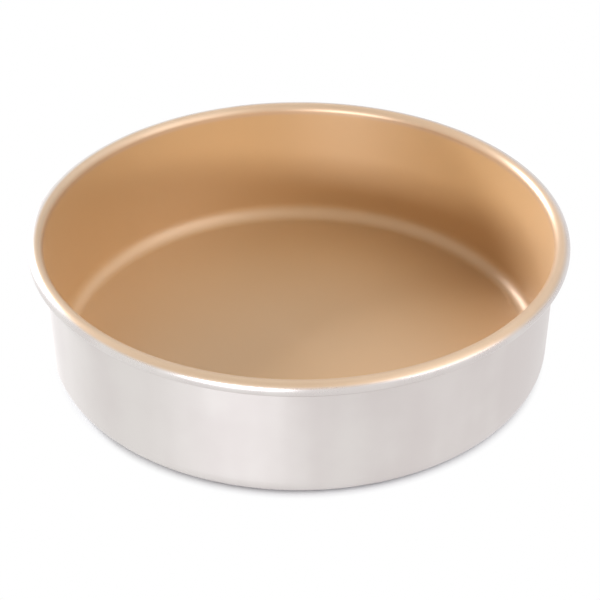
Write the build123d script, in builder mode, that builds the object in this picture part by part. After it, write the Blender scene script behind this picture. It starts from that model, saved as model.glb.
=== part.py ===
"""Round cake tin: a drawn aluminium pan whose rim is curled over a steel wire ring,
with a non-stick coating baked on the inside. Millimetres, +Z up, standing on Z = 0."""

import os
from math import acos, cos, degrees, radians, sin

from build123d import *

# Driving dimensions
mouth_radius = 114.3  # inside of the wall where the rim's curl begins: nine inches across
pan_height = 63.5  # bare metal, from the table to the top of the curl
sheet_thickness = 1.0
wall_draft = 1.5  # degrees that the wall leans outwards
corner_radius = 8.0  # inside, between floor and wall
curl_radius = 3.4  # outside of the rolled rim
curl_gap = 0.3  # between the curl's cut edge and the wall
wire_clearance = 0.05  # all round, inside the curl
wire_joint_gap = 0.8  # between the wire's two cut ends
coating_thickness = 0.1
coating_edge_angle = 35.0  # degrees above level at which the coating stops on the curl

# The pan's section, worked out from the inside face
lean_cos = cos(radians(wall_draft))
lean_sin = sin(radians(wall_draft))
curl_centre_height = pan_height - curl_radius
curl_centre_radius = mouth_radius + curl_radius * lean_cos
corner_top = sheet_thickness + corner_radius * (1 - lean_sin)
wall_top = curl_centre_height + curl_radius * lean_sin
wall_length = (wall_top - corner_top) / lean_cos
floor_radius = mouth_radius - wall_length * lean_sin - corner_radius * lean_cos

# Turns of the curl, in degrees from the top of the wall
half_turn = 180.0
quarter_turn = 90.0
to_level = half_turn - wall_draft
to_coating_edge = to_level - coating_edge_angle
edge_reach = curl_radius - sheet_thickness - curl_gap
to_cut_edge = to_level + half_turn - degrees(acos(edge_reach / curl_radius))


def draw_face(depth, curl_turn):
    """Draws the pan's inside face, moved outwards by depth, from the axis to the rim."""
    level = sheet_thickness - depth
    floor = Line((0, level), (floor_radius, level))
    corner = JernArc(floor @ 1, floor % 1, corner_radius + depth, quarter_turn - wall_draft)
    wall = PolarLine(corner @ 1, wall_length, direction=corner % 1)
    curl = JernArc(wall @ 1, wall % 1, curl_radius - depth, -curl_turn)
    return floor @ 0, curl @ 1


# Pan: one disc of sheet drawn to a cup, its edge rolled outwards into a curl
with BuildPart() as pan_shell:
    with BuildSketch(Plane.XZ):
        with BuildLine():
            floor_middle, cut_edge_outside = draw_face(0, to_cut_edge)
            base_middle, cut_edge_inside = draw_face(sheet_thickness, to_cut_edge)
            Line(floor_middle, base_middle)
            Line(cut_edge_outside, cut_edge_inside)
        make_face()
    revolve(axis=Axis.Z)
pan_shell.part.label = "pan_shell"

# Rim wire: a round steel wire bent to a ring, shut in by the curl, its ends left just apart
wire_radius = curl_radius - sheet_thickness - wire_clearance
wire_joint_angle = degrees(wire_joint_gap / curl_centre_radius)
full_turn = 2 * half_turn
with BuildPart() as rim_wire:
    with BuildSketch(Plane.XZ):
        with Locations((curl_centre_radius, curl_centre_height)):
            Circle(wire_radius)
    revolve(axis=Axis.Z, revolution_arc=full_turn - wire_joint_angle)
rim_wire.part.label = "rim_wire"

# Coating: a skin over the floor, the wall and the top of the curl
with BuildPart() as nonstick_coating:
    with BuildSketch(Plane.XZ):
        with BuildLine():
            skin_middle, skin_edge = draw_face(-coating_thickness, to_coating_edge)
            metal_middle, metal_edge = draw_face(0, to_coating_edge)
            Line(skin_middle, metal_middle)
            Line(skin_edge, metal_edge)
        make_face()
    revolve(axis=Axis.Z)
nonstick_coating.part.label = "nonstick_coating"

os.makedirs("parts", exist_ok=True)
for piece in (pan_shell, rim_wire, nonstick_coating):
    export_step(piece.part, f"parts/{piece.part.label}.step")
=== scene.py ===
from math import acos, cos, pi, radians, sin, tan

import bpy
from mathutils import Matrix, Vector


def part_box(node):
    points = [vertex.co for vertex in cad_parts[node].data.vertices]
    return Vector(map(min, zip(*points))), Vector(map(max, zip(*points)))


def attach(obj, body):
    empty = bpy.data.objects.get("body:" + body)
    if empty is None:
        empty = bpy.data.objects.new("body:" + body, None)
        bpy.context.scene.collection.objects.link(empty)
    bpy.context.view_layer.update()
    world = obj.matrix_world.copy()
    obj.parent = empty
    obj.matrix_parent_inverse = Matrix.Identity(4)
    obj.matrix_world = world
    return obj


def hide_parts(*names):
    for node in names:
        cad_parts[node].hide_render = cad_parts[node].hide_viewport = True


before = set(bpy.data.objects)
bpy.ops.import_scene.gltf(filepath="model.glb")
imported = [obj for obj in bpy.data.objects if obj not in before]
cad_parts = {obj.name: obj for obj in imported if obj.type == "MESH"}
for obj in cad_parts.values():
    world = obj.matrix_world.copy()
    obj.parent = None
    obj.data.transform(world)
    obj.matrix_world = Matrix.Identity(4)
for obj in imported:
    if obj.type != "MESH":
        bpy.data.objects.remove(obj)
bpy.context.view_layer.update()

# Pan. One disc of aluminium sheet, drawn on a press to a straight cup with a rounded base
# corner, its edge then rolled outwards and under into a closed bead. The outside stays bare
# metal, as it leaves the press.
MM = 0.001
SHEET = 1.0 * MM
CORNER_RADIUS = 8.0 * MM  # inside, between floor and wall
BEAD_RADIUS = 3.4 * MM  # outside of the rolled rim
BEAD_GAP = 0.3 * MM  # between the sheet's cut edge and the wall
WALL_LEAN = radians(1.5)
SEGMENTS = 360  # round the tin
FLOOR_RINGS = 6
CORNER_STEPS = 14
WALL_STEPS = 20
BEAD_STEP = radians(7.5)
CUT_EDGE_ROUNDING = 0.12 * MM
SHARP_ANGLE = radians(40)  # edges that turn less than this are shaded smooth

shell_low, shell_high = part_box("pan_shell")
bead_centre = (shell_high[0] - BEAD_RADIUS, shell_high[2] - BEAD_RADIUS)
wall_top = (
    bead_centre[0] - BEAD_RADIUS * cos(WALL_LEAN),
    bead_centre[1] + BEAD_RADIUS * sin(WALL_LEAN),
)
corner_top_height = SHEET + CORNER_RADIUS * (1 - sin(WALL_LEAN))
corner_top_radius = wall_top[0] - (wall_top[1] - corner_top_height) * tan(WALL_LEAN)
corner_centre = (corner_top_radius - CORNER_RADIUS * cos(WALL_LEAN), SHEET + CORNER_RADIUS)


def inside_face(bead_end):
    """The pan's inside face as rings (radius, height), from mid-floor round the bead to bead_end.

    bead_end is an angle about the bead's centre, where 0 points away from the axis."""
    rings = [(corner_centre[0] * (i + 1) / FLOOR_RINGS, SHEET) for i in range(FLOOR_RINGS)]
    for i in range(1, CORNER_STEPS + 1):
        turn = (pi / 2 - WALL_LEAN) * i / CORNER_STEPS
        rings.append((
            corner_centre[0] + CORNER_RADIUS * sin(turn),
            corner_centre[1] - CORNER_RADIUS * cos(turn),
        ))
    foot = rings[-1]
    for i in range(1, WALL_STEPS):
        share = i / WALL_STEPS
        rings.append(tuple(foot[k] + (wall_top[k] - foot[k]) * share for k in (0, 1)))
    bead_start = pi - WALL_LEAN
    bead_steps = round((bead_start - bead_end) / BEAD_STEP)
    for i in range(bead_steps + 1):
        angle = bead_start + (bead_end - bead_start) * i / bead_steps
        rings.append((
            bead_centre[0] + BEAD_RADIUS * cos(angle),
            bead_centre[1] + BEAD_RADIUS * sin(angle),
        ))
    return rings


def draw_cup(name, rings):
    """Models a cup as a disc whose edge is pulled outwards and up, ring by ring."""
    bpy.ops.object.select_all(action="DESELECT")
    radius, height = rings[0]
    bpy.ops.mesh.primitive_circle_add(
        vertices=SEGMENTS, radius=radius, fill_type="TRIFAN", location=(0, 0, height)
    )
    cup = bpy.context.object
    cup.name = cup.data.name = name
    bpy.ops.object.transform_apply(location=True, rotation=True, scale=True)
    bpy.ops.object.mode_set(mode="EDIT")
    bpy.ops.mesh.select_mode(type="EDGE")
    bpy.ops.mesh.select_all(action="DESELECT")
    bpy.ops.mesh.select_non_manifold()
    for next_radius, next_height in rings[1:]:
        bpy.ops.mesh.extrude_region_move(
            TRANSFORM_OT_translate={"value": (0, 0, next_height - height)}
        )
        grow = next_radius / radius
        bpy.ops.transform.resize(value=(grow, grow, 1), center_override=(0, 0, next_height))
        radius, height = next_radius, next_height
    bpy.ops.mesh.select_all(action="SELECT")
    bpy.ops.mesh.normals_make_consistent(inside=False)
    bpy.ops.object.mode_set(mode="OBJECT")
    return cup


def add_modifier(piece, kind, **settings):
    """Adds a modifier with these settings and applies it."""
    bpy.context.view_layer.objects.active = piece
    modifier = piece.modifiers.new(kind.title(), kind)
    for setting, value in settings.items():
        setattr(modifier, setting, value)
    bpy.ops.object.modifier_apply(modifier=modifier.name)


cut_edge_reach = BEAD_RADIUS - SHEET - BEAD_GAP
cut_edge_angle = acos(cut_edge_reach / BEAD_RADIUS) - pi
pan = draw_cup("pan", inside_face(cut_edge_angle))
add_modifier(pan, "SOLIDIFY", thickness=SHEET, offset=-1, use_even_offset=True)
add_modifier(
    pan,
    "BEVEL",
    width=CUT_EDGE_ROUNDING,
    segments=2,
    limit_method="ANGLE",
    angle_limit=radians(50),
)


class Socket:
    """An output of a shader node. Sums written with it become Math nodes of its material."""

    def __init__(self, finish, output):
        self.finish = finish
        self.output = output

    def maths(self, operation, *values):
        return self.finish.node("Math", {"operation": operation}, dict(enumerate(values)))

    def __add__(self, other):
        return self.maths("ADD", self, other)

    def __sub__(self, other):
        return self.maths("SUBTRACT", self, other)

    def __rsub__(self, other):
        return self.maths("SUBTRACT", other, self)

    def __mul__(self, other):
        return self.maths("MULTIPLY", self, other)

    def __truediv__(self, other):
        return self.maths("DIVIDE", self, other)

    def __pow__(self, other):
        return self.maths("POWER", self, other)

    __radd__ = __add__
    __rmul__ = __mul__


class NodeTree:
    """A node tree being filled. node() adds any node and wraps one of its outputs."""

    def __init__(self, tree):
        self.tree = tree

    def node(self, kind, settings, inputs, output=0):
        made = self.tree.nodes.new("ShaderNode" + kind)
        for setting, value in settings.items():
            setattr(made, setting, value)
        for socket, value in inputs.items():
            self.put(made.inputs[socket], value)
        return Socket(self, made.outputs[output])

    def put(self, socket, value):
        if isinstance(value, Socket):
            self.tree.links.new(value.output, socket)
        else:
            socket.default_value = value

    def shown(self):
        """1 for the rays that see the backdrop: the camera's, and those that metal reflects."""
        rays = self.node("LightPath", {}, {}, output="Is Camera Ray")
        for kind in ("Is Glossy Ray", "Is Transmission Ray"):
            rays = rays + self.node("LightPath", {}, {}, output=kind)
        return self.node("Clamp", {}, {"Value": rays})


class Finish(NodeTree):
    """A material on its way. Constants go straight to the shader's own sockets."""

    def __init__(self, name):
        self.material = bpy.data.materials.new(name)
        self.material.use_nodes = True
        super().__init__(self.material.node_tree)
        self.shader = self.tree.nodes["Principled BSDF"]

    def feed(self, inputs):
        for socket, value in inputs.items():
            self.put(self.shader.inputs[socket], value)

    def place(self):
        """Object coordinates in metres, as a vector and as its three parts."""
        vector = self.node("TexCoord", {}, {}, output="Object")
        split = [self.node("SeparateXYZ", {}, {0: vector}, output=axis) for axis in "XYZ"]
        return vector, *split

    def noise(self, vector, size, stretch=(1, 1, 1), detail=2.0):
        """Noise from 0 to 1 whose blobs are about size metres across, longer where stretched."""
        scaled = self.node(
            "Mapping", {}, {"Vector": vector, "Scale": tuple(1 / (size * s) for s in stretch)}
        )
        return self.node("TexNoise", {}, {"Vector": scaled, "Scale": 1.0, "Detail": detail})

    def ramp(self, value, low, high, start=0.0, end=1.0):
        """Eases from start to end while value goes from low to high."""
        return self.node(
            "MapRange",
            {"interpolation_type": "SMOOTHSTEP"},
            {"Value": value, "From Min": low, "From Max": high, "To Min": start, "To Max": end},
        )

    def blend(self, share, first, second):
        """Mixes two colours."""
        return self.node(
            "Mix", {"data_type": "RGBA"}, {"Factor": share, 6: first, 7: second}, output=2
        )

    def bump(self, height, distance):
        """Roughens the surface by height, which stands for distance metres where it is 1."""
        return self.node("Bump", {}, {"Height": height, "Distance": distance})


ALUMINIUM = (0.73, 0.695, 0.67, 1)
# the dull aluminium colour is both the metal's duller tone and the painted shade on its right
# side
ALUMINIUM_DULL_AND_SHADED = (0.64, 0.59, 0.575, 1)
DULL_BELOW = 0.38  # of the mix of tone and painted shade that tells dull from bright
BRIGHT_ABOVE = 0.62
BAND_WIDTH = 24 * MM
BAND_STRETCH = (1, 1, 8)
SMUDGE_SIZE = 30 * MM
STREAK_WIDTH = 0.5 * MM
STREAK_STRETCH = (1, 1, 80)
METAL_ROUGHNESS = 0.36
BEAD_POLISH = 0.08  # how much less rough than the wall the bead is, fitted by trial
METAL_LINES = 0.6  # fine lines taken to run round the tin, so that shine spreads up and down
ACROSS_THE_LINES = 0.25  # of a turn
SURFACE_DEPTH = 0.004 * MM


def bare_metal(finish):
    """Colour, roughness and height of the drawn sheet: soft upright draw bands and smudges,
    and painted shade that makes the right side duller, fitted by trial to the photo's shading."""
    vector, x, _, z = finish.place()
    bands = finish.noise(vector, BAND_WIDTH, stretch=BAND_STRETCH)
    smudges = finish.noise(vector, SMUDGE_SIZE, detail=3)
    streaks = finish.noise(vector, STREAK_WIDTH, stretch=STREAK_STRETCH)
    reach = 0.8 * bead_centre[0]
    # painted shade: the sheet is painted duller towards its right side
    right_painted_shade = finish.ramp(x, -reach, reach, BRIGHT_ABOVE, DULL_BELOW)
    # the sheet's own tone from bands and smudges, mixed half and half with that painted shade
    tone_and_shade = bands * 0.3 + smudges * 0.2 + right_painted_shade * 0.5
    bright = finish.ramp(tone_and_shade, DULL_BELOW, BRIGHT_ABOVE)
    colour = finish.blend(bright, ALUMINIUM_DULL_AND_SHADED, ALUMINIUM)
    rolled = finish.ramp(z, bead_centre[1] - BEAD_RADIUS, bead_centre[1], 0.0, -BEAD_POLISH)
    roughness = METAL_ROUGHNESS + rolled + (bands - 0.5) * 0.1 + (streaks - 0.5) * 0.04
    return colour, roughness, streaks


GOLD = (0.64, 0.395, 0.168, 1)
GOLD_METALLIC = 0.15  # how much of the film's colour comes from its metal flakes
GOLD_ROUGHNESS = 0.38
BEAD_COVER = 0.72  # the spray is thinner on the bead than inside
SPRAY_EDGE_FRONT = radians(34)  # about the bead's centre, where 0 points away from the axis
SPRAY_EDGE_BACK = radians(90)
SPRAY_FADE = radians(15)  # to either side of that edge
SPRAY_FADE_RIGHT = radians(28)
SPRAY_SKEW = 0.15  # how far the spray's highest edge turns from the back to the left


def sprayed_bead(finish):
    """How well the gold covers the bead, from 1 on its top to 0 low on its outer side."""
    _, x, y, z = finish.place()
    rim = bead_centre[0]
    across = (x * x + y * y) ** 0.5 - rim
    height = z - bead_centre[1]
    angle = finish.node("Math", {"operation": "ARCTAN2"}, {0: height, 1: across})
    to_back = y - x * SPRAY_SKEW
    edge = finish.ramp(to_back, -0.9 * rim, 0.2 * rim, SPRAY_EDGE_FRONT, SPRAY_EDGE_BACK)
    fade = finish.ramp(x, 0.3 * rim, rim, SPRAY_FADE, SPRAY_FADE_RIGHT)
    outer = finish.ramp((angle - edge) / fade, -1.0, 1.0)
    inner = finish.ramp(across, 0.0, -0.5 * BEAD_RADIUS)
    spray = finish.node("Math", {"operation": "MAXIMUM"}, {0: outer, 1: inner})
    return across, height, spray


def dress(piece, finish):
    """Gives a piece its material, and smooth shading but for its sharp edges."""
    piece.data.materials.append(finish.material)
    bpy.ops.object.select_all(action="DESELECT")
    piece.select_set(True)
    bpy.context.view_layer.objects.active = piece
    bpy.ops.object.shade_smooth_by_angle(angle=SHARP_ANGLE)


metal = Finish("bare_aluminium")
metal_colour_and_shade, metal_roughness, metal_height = bare_metal(metal)
across, height, spray = sprayed_bead(metal)
over_bead = spray * metal.ramp(across, 0.0, 0.5 * BEAD_RADIUS) * BEAD_COVER
metal.feed({
    "Metallic": 1 - over_bead * (1 - GOLD_METALLIC),
    "Base Color": metal.blend(over_bead, metal_colour_and_shade, GOLD),
    "Roughness": metal_roughness,
    "Anisotropic": METAL_LINES,
    "Anisotropic Rotation": ACROSS_THE_LINES,
    "Normal": metal.bump(metal_height, SURFACE_DEPTH),
})
dress(pan, metal)
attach(pan, "root")
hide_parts("pan_shell")

# Non-stick coating. A thin film of metallic gold, sprayed inside the pan and over its bead,
# where the spray thins out to bare metal on the outer side, then baked on.
FILM = 0.1 * MM
FILM_EDGE_ANGLE = radians(35)  # where the film ends, about the bead's centre
FILM_LINES = 0.5  # as METAL_LINES, and fitted by trial too
MOTTLE_SIZE = 25 * MM
FLAKE_SIZE = 0.25 * MM
film = draw_cup("nonstick_coating_film", inside_face(FILM_EDGE_ANGLE))
add_modifier(film, "SOLIDIFY", thickness=FILM, offset=1, use_even_offset=True)

gold = Finish("gold_nonstick")
vector, *_ = gold.place()
across, height, spray = sprayed_bead(gold)
inside = gold.ramp(height, 0.0, -0.6 * BEAD_RADIUS)
over_bead = spray * (1 - inside)
cover = inside + over_bead * BEAD_COVER
# the bead's bare metal here carries the same painted shade on its right side
metal_colour_and_shade, metal_roughness, _ = bare_metal(gold)
mottle = gold.noise(vector, MOTTLE_SIZE, detail=3)
flakes = gold.noise(vector, FLAKE_SIZE, detail=1)
film_roughness = GOLD_ROUGHNESS + (mottle - 0.5) * 0.08
gold.feed({
    "Metallic": 1 - cover * (1 - GOLD_METALLIC),
    "Base Color": gold.blend(cover, metal_colour_and_shade, GOLD),
    "Roughness": metal_roughness + (film_roughness - metal_roughness) * (inside + over_bead),
    "Specular IOR Level": 0.8,
    "Anisotropic": FILM_LINES,
    "Anisotropic Rotation": ACROSS_THE_LINES,
    "Coat Weight": inside,  # a second, rougher shine for the wide pale sheen inside
    "Coat Roughness": 0.55,
    "Coat IOR": 1.7,
    "Normal": gold.bump(flakes, SURFACE_DEPTH),
})
dress(film, gold)
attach(film, "root")
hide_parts("nonstick_coating")

# Rim wire. A galvanised steel wire bent to a ring, shut inside the bead, so that it never
# shows. It stays as the CAD solid has it.
ZINC = (0.66, 0.67, 0.68, 1)
ZINC_DARK = (0.5, 0.51, 0.52, 1)
SPANGLE_SIZE = 2 * MM
zinc = Finish("galvanised_wire")
vector, *_ = zinc.place()
spangle = zinc.noise(vector, SPANGLE_SIZE)
zinc.feed({
    "Metallic": 1.0,
    "Base Color": zinc.blend(spangle, ZINC_DARK, ZINC),
    "Roughness": 0.4 + spangle * 0.2,
})
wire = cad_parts["rim_wire"]
wire.data.materials.clear()
wire.data.materials.append(zinc.material)

# Table top. A plain white sweep that the tin stands on. It glows white to the camera and to
# the metal. Close to the foot it is lit like paper, and painted grey there as well, because
# the lamps alone leave the shade under the tin too light.
TABLE_SIZE = 6.0
TABLE_DROP = 0.05 * MM  # below the tin, so that the two faces never share a height
PAPER_WHITE = (0.85, 0.85, 0.85, 1)
PAPER_SHADED = (0.45, 0.45, 0.45, 1)  # painted shade under the tin and its rounded corner
CORNER_SHADE_END = 7 * MM  # from the edge of the flat base, as the next two are
SHADOW_START = 3 * MM
SHADOW_END = 9.5 * MM
bpy.ops.object.select_all(action="DESELECT")
bpy.ops.mesh.primitive_plane_add(size=TABLE_SIZE, location=(0, 0, -TABLE_DROP))
table = bpy.context.object
table.name = "table_top"
paper = Finish("white_paper")
_, x, y, _ = paper.place()
from_foot = (x * x + y * y) ** 0.5 - corner_centre[0]
# painted shade close to the foot, fading to white paper by CORNER_SHADE_END
past_painted_shade = paper.ramp(from_foot, 0.0, CORNER_SHADE_END)
paper.feed({
    "Base Color": paper.blend(past_painted_shade, PAPER_SHADED, PAPER_WHITE),
    "Roughness": 0.9,
    "Specular IOR Level": 0.0,
})
glow_share = paper.ramp(from_foot, SHADOW_START, SHADOW_END)
glow = paper.node("Emission", {}, {"Color": (1, 1, 1, 1), "Strength": 1.0})
lit_paper = Socket(paper, paper.shader.outputs[0])
surface = paper.node("MixShader", {}, {0: paper.shown() * glow_share, 1: lit_paper, 2: glow})
paper.put(paper.tree.nodes["Material Output"].inputs["Surface"], surface)
table.data.materials.append(paper.material)

# Light. A white studio. The camera and the metal see its walls white, but they light the rest
# only a little. Softboxes, placed by trial against the photo, do the rest: a strong one behind
# on the left, a low one in front, and three wide, weak ones.
ROOM_LIGHT = 0.08  # of the white that the camera sees
LAMP_DISTANCE = 1.6
LAMP_COLOUR = (1.0, 1.015, 1.1)  # a little cooler than the room
world = bpy.data.worlds.new("studio")
bpy.context.scene.world = world
world.use_nodes = True
room = NodeTree(world.node_tree)
backdrop = room.tree.nodes["Background"]
room.put(backdrop.inputs["Color"], (1, 1, 1, 1))
room.put(backdrop.inputs["Strength"], ROOM_LIGHT + room.shown() * (1 - ROOM_LIGHT))


def softbox(name, bearing, rise, size, brightness):
    """An evenly bright rectangle that faces the tin.

    bearing and rise are in degrees; a bearing of 0 is the camera's side and 90 its right."""
    turn, lift = radians(bearing), radians(rise)
    away = Vector((sin(turn) * cos(lift), -cos(turn) * cos(lift), sin(lift)))
    bpy.ops.object.light_add(type="AREA", location=away * LAMP_DISTANCE)
    lamp = bpy.context.object
    lamp.name = name
    lamp.data.shape = "RECTANGLE"
    lamp.data.size, lamp.data.size_y = size
    lamp.data.energy = brightness * pi * size[0] * size[1]
    lamp.data.color = LAMP_COLOUR
    lamp.visible_camera = False
    lamp.rotation_euler = away.to_track_quat("Z", "Y").to_euler()


softbox("back_left_key", 229, 20.5, (0.3, 0.5), 66.0)
softbox("low_front", 337, 11, (0.9, 0.14), 40.0)
softbox("right_fill", 60, 30, (1.2, 0.9), 1.9)
softbox("high_right", 60, 54, (1.4, 1.0), 0.84)
softbox("high_back", 130, 54, (1.7, 1.3), 0.76)

# Camera. A long lens, looking down at the tin as in the photograph. Its place and lens were
# fitted to the outline and the front of the rim. It isn't tilted sideways.
CAMERA_PLACE = Vector((0.0005, -0.6961, 0.49))
CAMERA_AIM = Vector((0.0005, 0, 0.0233))
LENS = 109.16  # millimetres, as the sensor's width is
SENSOR_WIDTH = 36.0
bpy.ops.object.camera_add(location=CAMERA_PLACE)
camera = bpy.context.object
camera.name = "camera"
camera.data.lens = LENS
camera.data.sensor_width = SENSOR_WIDTH
camera.rotation_euler = (CAMERA_AIM - CAMERA_PLACE).to_track_quat("-Z", "Y").to_euler()
bpy.context.scene.camera = camera
bpy.context.scene.view_settings.view_transform = "Standard"
